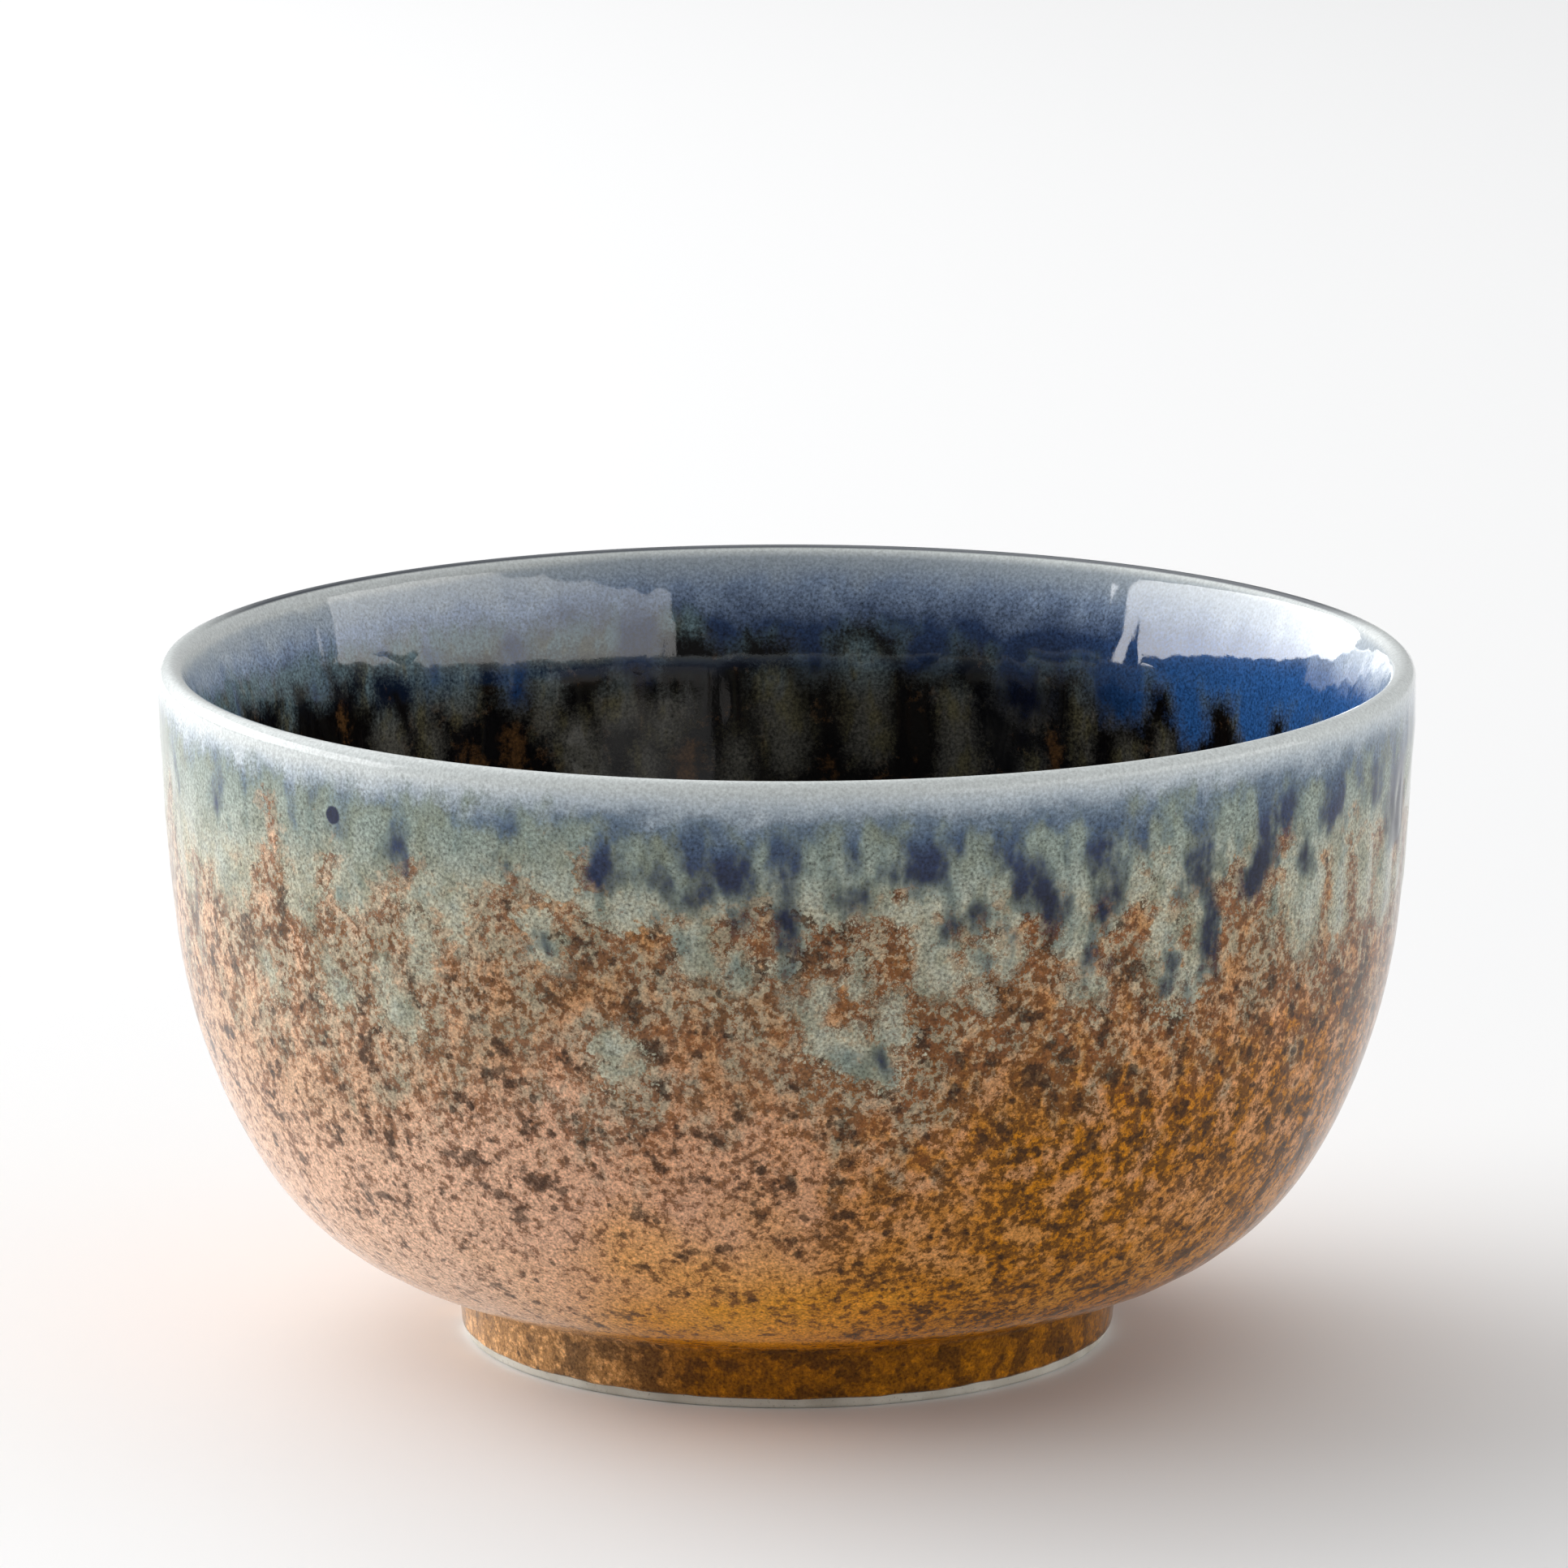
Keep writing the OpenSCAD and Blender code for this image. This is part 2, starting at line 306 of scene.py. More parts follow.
def around_the_rest(span, seed, spacing, top, lengths, widths):
    """Random strokes all round but for the azimuths of the listed ones."""
    return random_strokes(seed, span[1], span[0] + 360, spacing, top, lengths, widths)


INNER_BLUE_RISE = 3.5              # how much higher the blue ends on the back wall's left half


class Wall:
    """Where one side of the wall carries which glaze."""

    def __init__(self, side, seed, span, levels, blue, sage, rust):
        """Side is 0 outside and 1 inside. Levels are the mean falls of the blue's and the
        sage's edges, between their strokes."""
        self.side, self.seed, self.levels = side, seed, levels
        self.blue = blue + around_the_rest(
            span, seed + 41, spacing=7, top=3, lengths=(2, 13), widths=(0.7, 2.2)
        )
        self.sage = sage + around_the_rest(
            span, seed + 61, spacing=6, top=13, lengths=(1, 8), widths=(1.0, 2.6)
        )
        self.rust = rust + around_the_rest(
            span, seed + 71, spacing=9, top=11, lengths=(3, 8), widths=(0.6, 1.6)
        )

    def noise(self, az, fall, across, down, number, octaves=2):
        return wall_noise(az, fall, across, down, self.seed + number, octaves)

    def amber(self, az):
        """How far the base has turned, outside from tan to amber and inside to cobalt."""
        if self.side:
            return smooth(az, 75, 30) * smooth(az, -60, 0)
        return smooth(az, -118, -66) * (1 - smooth(az, 10, 60))

    def fields(self, az, fall):
        """Distances inside the blue, the sage and the rust, in mm, and how amber the base is."""
        sway = 0.9 * self.noise(az, fall, across=3.5, down=5, number=21) / MM_PER_DEGREE
        wave = 0.7 * self.noise(az, fall, across=4, down=5, number=11)
        wavy = (az + sway, fall + wave)
        blue_level, sage_level = self.levels
        blue_level = blue_level + 1.2 * self.noise(az, 0 * fall, across=12, down=9, number=31)
        blue_level = blue_level - INNER_BLUE_RISE * self.side * smooth(az, 55, 85)
        sage_level = sage_level + 1.8 * self.noise(az, 0 * fall, across=9, down=9, number=51)
        blue = np.maximum(blue_level - wavy[1], stroke_field(*wavy, self.blue))
        sage = np.maximum(sage_level - wavy[1], stroke_field(*wavy, self.sage))
        rust = stroke_field(*wavy, self.rust)
        sage = np.minimum(sage, -rust)
        warm = self.amber(az) + 0.45 * self.noise(az, fall, across=22, down=16, number=81)
        return surface_fields(
            az, fall, blue, np.maximum(sage, blue), np.clip(warm, 0, 1), rust, self.side
        )


def smooth(value, low, high):
    """0 below low, 1 above high, eased between them."""
    share = np.clip((value - low) / (high - low), 0, 1)
    return share * share * (3 - 2 * share)


# ---------------------------------------------------------------- relief

PAST_DRIPS = 0.04                  # depth of the rim coat under the base coat past its drips


def base_relief(az, fall):
    """Height of the base coat's unevenness, in mm: throwing waves and slow runs."""
    waves = 0.035 * wall_noise(az, fall, across=60, down=5, seed=201, octaves=1)
    runs = 0.05 * wall_noise(az, fall, across=2.8, down=12, seed=211)
    return waves + runs


def rim_relief(az, fall, sage, thickness):
    """Thickness of the rim coat, in mm. It is below 0, under the base coat, past its drips."""
    body = RIM_LIP_T - (RIM_LIP_T - thickness) * smooth(fall, 1, 9)
    runs = wall_noise(az, fall, across=4.5, down=9, seed=221, octaves=1)
    runs = 0.2 * thickness * runs * smooth(fall, 1, 5)
    cover = smooth(sage, -1.0, 5.0)
    return (body + runs) * cover - PAST_DRIPS * (1 - cover)


# ---------------------------------------------------------------- meshes


def place(chain, side, fall, lift):
    """Points of a turned surface: fall gives the rows, and lift the height above the chain.
    Side is 1 on the outside of a wall and -1 on the inside."""
    radius, height, lean = (v[:, None] for v in chain.at(fall))
    return turned_points(radius + side * lift * np.cos(lean), height - side * lift * np.sin(lean))


def turned_points(r, z):
    """Points of a turned surface from radii and heights, each per row or per row and column."""
    angle = np.radians(AZ)[None, :]
    r = np.broadcast_to(r, (r.shape[0], AZIMUTHS))
    z = np.broadcast_to(z, (z.shape[0], AZIMUTHS))
    return np.stack([r * np.cos(angle), r * np.sin(angle), z], -1)


def turned_mesh(name, rows, fields, poles=False):
    """Makes a closed mesh from rows of points that run down its outside. With poles, a point
    on the axis closes each end; without, the last row joins the first. Fields are given per
    point."""
    count, columns = rows.shape[:2]
    index = np.arange(count * columns).reshape(count, columns)
    below = index[1:] if poles else np.roll(index, -1, 0)
    above = index[:-1] if poles else index
    quads = np.stack(
        [above, below, np.roll(below, -1, 1), np.roll(above, -1, 1)], -1
    ).reshape(-1, 4)
    points = rows.reshape(-1, 3)
    faces = quads.tolist()
    if poles:
        top, bottom = len(points), len(points) + 1
        points = np.vstack([points, rows[0].mean(0), rows[-1].mean(0)])
        faces += [[top, a, b] for a, b in zip(index[0], np.roll(index[0], -1))]
        faces += [[bottom, b, a] for a, b in zip(index[-1], np.roll(index[-1], -1))]
    mesh = bpy.data.meshes.new(name)
    mesh.from_pydata((points * MM).tolist(), [], faces)
    for key, values in fields.items():
        values = np.asarray(values, float)
        flat = values.reshape(count * columns, -1)
        if poles:
            flat = np.vstack([flat, flat[:columns].mean(0), flat[-columns:].mean(0)])
        kind = "FLOAT_VECTOR" if flat.shape[1] == 3 else "FLOAT"
        attribute = mesh.attributes.new(key, kind, "POINT")
        attribute.data.foreach_set("vector" if kind == "FLOAT_VECTOR" else "value", flat.ravel())
    mesh.polygons.foreach_set("use_smooth", [True] * len(mesh.polygons))
    mesh.update()
    made = bpy.data.objects.new(name, mesh)
    bpy.context.scene.collection.objects.link(made)
    return made


def surface_fields(az, fall, blue, sage, warm=1.0, rust=-9.0, side=0.0):
    """The values that the glaze materials read, per point."""
    angle = np.radians(az)
    wall = np.stack([WALL_R * np.cos(angle), WALL_R * np.sin(angle), fall], -1)
    values = {"blue": blue, "sage": sage, "warm": warm, "rust": rust, "side": side}
    fields = {key: np.broadcast_to(value, az.shape) for key, value in values.items()}
    return fields | {"fall": fall, "wall": wall}


def plain_fields(az, fall, side=0.0):
    """The same where a surface has no drips."""
    return surface_fields(az, fall, -50.0, -50.0, side=side)


def grid(fall):
    """Azimuth and fall at every point of a surface with these rows."""
    return np.broadcast_arrays(AZ[None, :], np.asarray(fall)[:, None])


def steps(start, end, step):
    """Distances from start to end, about a step apart."""
    return np.linspace(start, end, max(2, round(abs(end - start) / step) + 1))


def reordered(surface, chosen):
    """A surface, as rows and their fields, with the rows that a slice picks."""
    rows, fields = surface
    return rows[chosen], {key: values[chosen] for key, values in fields.items()}


BACKWARDS = slice(None, None, -1)
BACKWARDS_BUT_FIRST = slice(None, 0, -1)
BACKWARDS_BUT_ENDS = slice(-2, 0, -1)


def join_fields(*parts):
    return {key: np.concatenate([p[key] for p in parts]) for key in parts[0]}


def finish_piece(made, node, material):
    """Gives a piece its material and body, and hides its CAD node."""
    made.data.materials.append(material)
    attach(made, "root")
    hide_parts(node)
    return made


def eased_in(fall, joint):
    """Share of the base coat's relief, from 0 at the lip's joint to 1 a little below it."""
    return smooth(fall, joint, joint + 1)


def outer_coat(material):
    """Amber base coat on the outer wall, from under the rim coat to the crease."""
    fall = steps(OUTER_JOINT, CREASE, ROW_STEP)
    az, deep = grid(fall)
    ends = eased_in(deep, OUTER_JOINT) * smooth(deep, CREASE, CREASE - 1.5)
    free = place(OUTER, 1, fall, base_relief(az, deep) * ends)
    back_fall = steps(CREASE, OUTER_JOINT, CREASE / UNDER_ROWS)
    back_az, back_deep = grid(back_fall)
    hidden = place(OUTER, 1, back_fall, np.full(back_az.shape, -BASE_T))
    fields = join_fields(OUTER_WALL.fields(az, deep), plain_fields(back_az, back_deep))
    made = turned_mesh("outer_coat", np.concatenate([free, hidden]), fields)
    return finish_piece(made, "outer_glaze", material)


RIM_REACH_OUT = 29.0               # fall down to which the rim coat's drips may run
RIM_REACH_IN = 30.0
RIM_RUN_T_OUT = 0.2                # thickness of the drips, outside and inside
RIM_RUN_T_IN = 0.1
RIM_SINK = 0.15                    # how deep the rim coat's hidden side lies in the base coat
RIM_HIDDEN_STEP = 2.2


def rim_side(chain, wall, reach_down, joint, step):
    """Rows of the rim coat on one side: free surface from the crown down, and hidden side."""
    side = 1 - 2 * wall.side
    fall = steps(0, reach_down, step)
    az, deep = grid(fall)
    fields = wall.fields(az, deep)
    lift = rim_relief(az, deep, fields["sage"], RIM_RUN_T_IN if wall.side else RIM_RUN_T_OUT)
    under = base_relief(az, deep) * eased_in(deep, joint)
    free = place(chain, side, fall, lift + under)
    back_fall = steps(reach_down, 0, RIM_HIDDEN_STEP)
    back_az, back_deep = grid(back_fall)
    on_clay = (back_deep < joint).astype(float)
    depth = -RIM_SINK - (BASE_T - RIM_SINK) * on_clay
    hidden = place(chain, side, back_fall, depth)
    return (free, fields), (hidden, plain_fields(back_az, back_deep, wall.side))


def rim_coat(material, inside_material):
    """Blue-grey coat that hooks over the lip and drips down both sides. It is glossier inside."""
    outer, outer_hidden = rim_side(OUTER, OUTER_WALL, RIM_REACH_OUT, OUTER_JOINT, 0.5)
    inner, inner_hidden = rim_side(INNER, INNER_WALL, RIM_REACH_IN, INNER_JOINT, 0.55)
    parts = [
        outer, outer_hidden,
        reordered(inner_hidden, BACKWARDS_BUT_ENDS), reordered(inner, BACKWARDS_BUT_FIRST),
    ]
    rows = np.concatenate([rows for rows, fields in parts])
    made = turned_mesh("rim_coat", rows, join_fields(*[fields for rows, fields in parts]))
    outside_rows = len(outer[0]) + len(outer_hidden[0])
    sides = np.arange(len(made.data.polygons)) // AZIMUTHS >= outside_rows
    finish_piece(made, "rim_glaze", material)
    made.data.materials.append(inside_material)
    made.data.polygons.foreach_set("material_index", sides.astype(np.int32))
    return made


def lining(material):
    """Base coat inside the bowl, down to the middle of the floor."""
    fall = steps(INNER_JOINT, AXIS, 0.8)[:-1]
    az, deep = grid(fall)
    ends = eased_in(deep, INNER_JOINT) * smooth(deep, AXIS - 22, AXIS - 46)
    free = place(INNER, -1, fall, base_relief(az, deep) * ends)
    back_fall = steps(INNER_JOINT, AXIS, AXIS / UNDER_ROWS)[:-1]
    back_az, back_deep = grid(back_fall)
    hidden = place(INNER, -1, back_fall, np.full(back_az.shape, -BASE_T))
    free, free_fields = reordered((free, INNER_WALL.fields(az, deep)), BACKWARDS)
    fields = join_fields(free_fields, plain_fields(back_az, back_deep, 1.0))
    made = turned_mesh("lining", np.concatenate([free, hidden]), fields, poles=True)
    return finish_piece(made, "inner_glaze", material)


def foot_wall(z):
    """Radius of the bare foot's outer wall at height z."""
    return FOOT_TOP_R - FOOT_FLARE * (1 - z / FOOT_H)


FOOT_COAT_SINK = 0.02              # how deep the foot coat's hidden side lies in the clay


def foot_coat(material):
    """Amber coat on the foot's outer wall, with a pooled bead at its wavy lower edge."""
    z = steps(FOOT_H, BARE_H, 0.25)
    az, height = grid(z)
    wave = 0.1 * wall_noise(az, 0 * height, across=5, down=5, seed=301)
    share = (FOOT_H - height) / (FOOT_H - BARE_H)
    level = height + wave * share
    bead = BASE_T + 0.05 * smooth(share, 0.8, 0.95)
    edge = np.sqrt(np.clip(1 - smooth(share, 0.93, 1.0) ** 2, 0, 1))
    pool = 0.5 * smooth(height, FOOT_H - 1.3, FOOT_H) ** 2
    relief = 0.03 * wall_noise(az, level, across=4, down=3, seed=311)
    free = turned_points(foot_wall(level) + (bead + relief) * edge + pool, level)
    back = steps(BARE_H, FOOT_H, 1.5)
    back_az, back_z = grid(back)
    back_level = back_z + wave[:1] * (FOOT_H - back_z) / (FOOT_H - BARE_H)
    hidden = turned_points(foot_wall(back_level) - FOOT_COAT_SINK, back_level)
    fields = join_fields(
        plain_fields(az, CREASE + FOOT_H - level), plain_fields(back_az, CREASE + FOOT_H - back_z),
    )
    made = turned_mesh("foot_coat", np.concatenate([free, hidden]), fields)
    return finish_piece(made, "foot_glaze", material)


RECESS_POOL_R = 1.3                # radius of the glaze pooled in the recess's corner
AXIS_GAP = 0.6                     # radius of the smallest row of a flat surface


def recess_coat(material):
    """Amber coat inside the foot: under the floor, round the corner and down the ring."""
    ceiling, wall = FOOT_H - BASE_T, RECESS_R - BASE_T
    flat_r = steps(AXIS_GAP, wall - RECESS_POOL_R, 0.9)
    turn = np.radians(steps(90, 0, 12))[1:]
    corner_r = wall - RECESS_POOL_R + RECESS_POOL_R * np.cos(turn)
    corner_z = ceiling - RECESS_POOL_R + RECESS_POOL_R * np.sin(turn)
    down_z = steps(ceiling - RECESS_POOL_R, BARE_H + BASE_T, 0.4)[1:]
    r = np.concatenate([flat_r, corner_r, np.full(down_z.shape, wall), [RECESS_R]])
    z = np.concatenate([np.full(flat_r.shape, ceiling), corner_z, down_z, [BARE_H]])
    az = np.broadcast_to(AZ[None, :], (len(r), AZIMUTHS))
    radius = np.broadcast_to(r[:, None], az.shape)
    path = np.concatenate([[0], np.cumsum(np.hypot(np.diff(r), np.diff(z)))])
    deep = np.broadcast_to(path[:, None], az.shape)
    swell = 0.05 * wall_noise(az, deep, across=9, down=4, seed=401) * smooth(radius, AXIS_GAP, 8)
    inward = (z[:, None] < ceiling - RECESS_POOL_R / 2) * (r[:, None] < RECESS_R)
    free = turned_points(radius - swell * inward, z[:, None] - swell * (1 - inward) * 0.8)
    back_r = np.array([RECESS_R, RECESS_R, RECESS_R / 2, AXIS_GAP])
    back_z = np.array([(BARE_H + FOOT_H) / 2, FOOT_H, FOOT_H, FOOT_H])
    hidden = turned_points(back_r[:, None], back_z[:, None])
    back_az = np.broadcast_to(AZ[None, :], (len(back_r), AZIMUTHS))
    fields = join_fields(
        plain_fields(az, CREASE + FOOT_H + deep), plain_fields(back_az, 0 * back_az + 90),
    )
    rows, fields = reordered((np.concatenate([free, hidden]), fields), BACKWARDS)
    made = turned_mesh("recess_coat", rows, fields, poles=True)
    return finish_piece(made, "recess_glaze", material)


def vessel(material):
    """Fired clay of the bowl under its coats, closed over the foot."""
    inner = steps(AXIS, 0, 1.4)[1:]
    outer = steps(0, CREASE, 1.2)[1:]
    coats = place(INNER, -1, inner, np.full((len(inner), AZIMUTHS), -BASE_T))
    wall = place(OUTER, 1, outer, np.full((len(outer), AZIMUTHS), -BASE_T))
    under_r = steps(FOOT_TOP_R, AXIS_GAP, 2.0)[1:]
    under = turned_points(under_r[:, None], np.full((len(under_r), 1), FOOT_H))
    rows = np.concatenate([coats, wall, under])
    made = turned_mesh("vessel", rows, {}, poles=True)
    return finish_piece(made, "clay_body", material)


def standing_ring(material):
    """Bare clay ring with two tooled edges and a flat standing face."""
    lean = math.atan(FOOT_FLARE / FOOT_H)
    foot_r = FOOT_TOP_R - FOOT_FLARE
    edge_x = foot_r + RING_EDGE_R * (math.tan(lean) - 1 / math.cos(lean))
    outer_z = steps(FOOT_H, RING_EDGE_R, 0.5)[:-1]
    turn = np.radians(steps(-math.degrees(lean), -90, 12))
    inner_turn = np.radians(steps(-90, -180, 12))
    inner_z = steps(RING_EDGE_R, FOOT_H, 0.8)[1:]
    flat_r = steps(edge_x, RECESS_R + RING_EDGE_R, 0.3)[1:-1]
    r = np.concatenate([
        foot_wall(outer_z), edge_x + RING_EDGE_R * np.cos(turn), flat_r,
        RECESS_R + RING_EDGE_R + RING_EDGE_R * np.cos(inner_turn),
        np.full(inner_z.shape, RECESS_R),
    ])
    z = np.concatenate([
        outer_z, RING_EDGE_R + RING_EDGE_R * np.sin(turn), 0 * flat_r,
        RING_EDGE_R + RING_EDGE_R * np.sin(inner_turn), inner_z,
    ])
    az = np.broadcast_to(AZ[None, :], (len(r), AZIMUTHS))
    height = np.broadcast_to(z[:, None], az.shape)
    worn = 0.025 * wall_noise(az, height, across=1.6, down=0.8, seed=501)
    worn = worn * smooth(height, 0.02, 0.3) * smooth(height, FOOT_H, FOOT_H - 0.6)
    rows = turned_points(r[:, None] + worn, z[:, None])
    made = turned_mesh("standing_ring", rows, plain_fields(az, CREASE + FOOT_H - height))
    return finish_piece(made, "foot_ring", material)


# ---------------------------------------------------------------- material nodes


def srgb(red, green, blue):
    """Linear colour of an sRGB colour given from 0 to 255."""
    def linear(value):
        value = value / 255
        return value / 12.92 if value <= 0.04045 else ((value + 0.055) / 1.055) ** 2.4
    return (linear(red), linear(green), linear(blue), 1.0)


class Graph:
    """Short calls for building the nodes of a new material or world. A socket or a number may
    be given for any input."""

    def __init__(self, owner):
        owner.use_nodes = True
        self.owner, self.tree = owner, owner.node_tree
        nodes = self.tree.nodes
        self.shader = nodes.get("Principled BSDF") or nodes["Background"]

    def put(self, node, key, value):
        """Links a socket to a node's input, or sets the input to a value."""
        if isinstance(value, bpy.types.NodeSocket):
            self.tree.links.new(value, node.inputs[key])
        else:
            node.inputs[key].default_value = value

    def node(self, kind, out=0, settings=None, **inputs):
        """Output of a new node. Its inputs go by name, or by i and their index."""
        made = self.tree.nodes.new("ShaderNode" + kind)
        for key, value in (settings or {}).items():
            setattr(made, key, value)
        for key, value in inputs.items():
            self.put(made, int(key[1:]) if key[0] == "i" and key[1:].isdigit() else key, value)
        return made.outputs[out]

    def read(self, name, vector=False):
        """Value of one of the mesh's fields."""
        return self.node("Attribute", "Vector" if vector else "Fac", {"attribute_name": name})

    def place(self):
        return self.node("TexCoord", "Object")

    def math(self, operation, a, b=0.0, c=0.0):
        return self.node("Math", 0, {"operation": operation}, i0=a, i1=b, i2=c)

    def add(self, a, b):
        return self.math("ADD", a, b)

    def minus(self, a, b):
        return self.math("SUBTRACT", a, b)

    def scaled(self, value, factor, offset):
        """Value times a factor, plus an offset."""
        return self.math("MULTIPLY_ADD", value, factor, offset)

    def times(self, a, b):
        return self.math("MULTIPLY", a, b)

    def step(self, value, low, high, bottom=0.0, top=1.0):
        """Smooth step of value from bottom to top between low and high."""
        return self.node(
            "MapRange", 0, {"interpolation_type": "SMOOTHSTEP"},
            i0=value, i1=low, i2=high, i3=bottom, i4=top,
        )

    def noise(self, at, size, detail=2.0, rough=0.5, warp=0.0):
        """Noise from 0 to 1 with features of a size in the coordinate's own unit."""
        return self.node(
            "TexNoise", 0, {"noise_dimensions": "3D"},
            Vector=at, Scale=1 / size, Detail=detail, Roughness=rough, Distortion=warp,
        )

    def stretch(self, at, across, down):
        """Coordinate in which a feature this wide and this high measures 1 by 1."""
        return self.node(
            "Mapping", 0, {"vector_type": "POINT"},
            Vector=at, Scale=(1 / across, 1 / across, 1 / down),
        )

    def spots(self, at, size):
        """Distance to the nearest spot's middle, in spot spacings, and a random colour."""
        made = self.tree.nodes.new("ShaderNodeTexVoronoi")
        self.put(made, "Vector", at)
        self.put(made, "Scale", 1 / size)
        split = self.node("SeparateColor", 0, None, Color=made.outputs["Color"])
        return made.outputs["Distance"], split

    def mix(self, share, a, b, blend="MIX"):
        settings = {"data_type": "RGBA", "blend_type": blend}
        return self.node("Mix", 2, settings, i0=share, i6=a, i7=b)

    def ramp(self, value, stops):
        """Colour by value. Stops are (value, colour), and values lie from 0 to 1."""
        made = self.tree.nodes.new("ShaderNodeValToRGB")
        self.put(made, 0, value)
        elements = made.color_ramp.elements
        while len(elements) < len(stops):
            elements.new(0.5)
        for element, (position, colour) in zip(elements, stops):
            element.position, element.color = position, colour
        return made.outputs[0]

    def bump(self, height, distance, strength=1.0, normal=None):
        made = self.tree.nodes.new("ShaderNodeBump")
        self.put(made, "Height", height)
        self.put(made, "Distance", distance)
        self.put(made, "Strength", strength)
        if normal is not None:
            self.put(made, "Normal", normal)
        return made.outputs[0]


# ---------------------------------------------------------------- glaze colours

LIP_PALE = srgb(204, 209, 208)
LIP_GREY = srgb(170, 180, 188)
SLATE = srgb(104, 120, 136)
STEEL = srgb(66, 84, 108)
INDIGO = srgb(36, 48, 78)
NIGHT = srgb(27, 33, 54)
SAGE = srgb(162, 167, 154)
SAGE_GREY = srgb(104, 120, 114)
SAGE_MIST = srgb(124, 138, 130)
SAGE_OLIVE = srgb(112, 116, 96)
KHAKI = srgb(173, 168, 146)
RUST = srgb(126, 72, 32)
DARK_RUST = srgb(84, 46, 22)
# Painted light: pale pink that the lower wall takes on the window side.
PINK_TAN = srgb(210, 162, 130)
LIT_SIDE_PINK = srgb(226, 192, 166)
TAN = srgb(176, 130, 84)
PEACH = srgb(216, 150, 46)
AMBER = srgb(186, 118, 14)
HONEY = srgb(196, 118, 6)
GOLD = srgb(226, 150, 44)
# Painted light: lighter tan of the foot on the window side.
LIT_SIDE_FOOT_TAN = srgb(222, 170, 112)
FOOT_AMBER = srgb(170, 108, 12)
BROWN = srgb(94, 56, 32)
GOLD_BROWN = srgb(112, 70, 12)
DARK_BROWN = srgb(44, 27, 14)
CLAY = srgb(204, 202, 192)
CLAY_SHADE = srgb(180, 176, 164)
GRIT = srgb(128, 120, 106)
OLIVE_BROWN = srgb(88, 54, 8)
RUST_BROWN = srgb(96, 64, 34)
INK = srgb(0, 14, 56)
# Near-black of the lining: a dark glaze deepened with painted shade.
INNER_BLACK_AND_SHADE = srgb(13, 11, 11)
INNER_BROWN = srgb(96, 66, 36)
INNER_OLIVE = srgb(98, 92, 62)
INNER_MOSS = srgb(88, 86, 78)
INNER_MIST = srgb(104, 126, 132)
INNER_GREY = srgb(160, 172, 184)
INNER_STEEL = srgb(130, 148, 174)
INNER_INDIGO = srgb(46, 66, 102)
INNER_NIGHT = srgb(16, 20, 36)
COBALT = srgb(44, 90, 150)
# Painted dark reflection along the back of the lip's crown.
LIP_DARK_REFLECTION = srgb(40, 50, 62)

FALL_SPAN = 80.0                   # fall that a colour ramp covers, in mm
SPECK_GAP = 1.9 * MM               # distance between neighbouring iron specks
SPECK_BEND = 0.0008                # share by which noise pulls their outlines out of round


def by_fall(g, level, stops):
    """Colour by fall. Stops are (fall in mm, colour)."""
    return g.ramp(g.times(level, 1 / FALL_SPAN), [(mm / FALL_SPAN, c) for mm, c in stops])


def centred(g, noise, width):
    """Noise spread evenly about 0."""
    return g.scaled(noise, width, -width / 2)


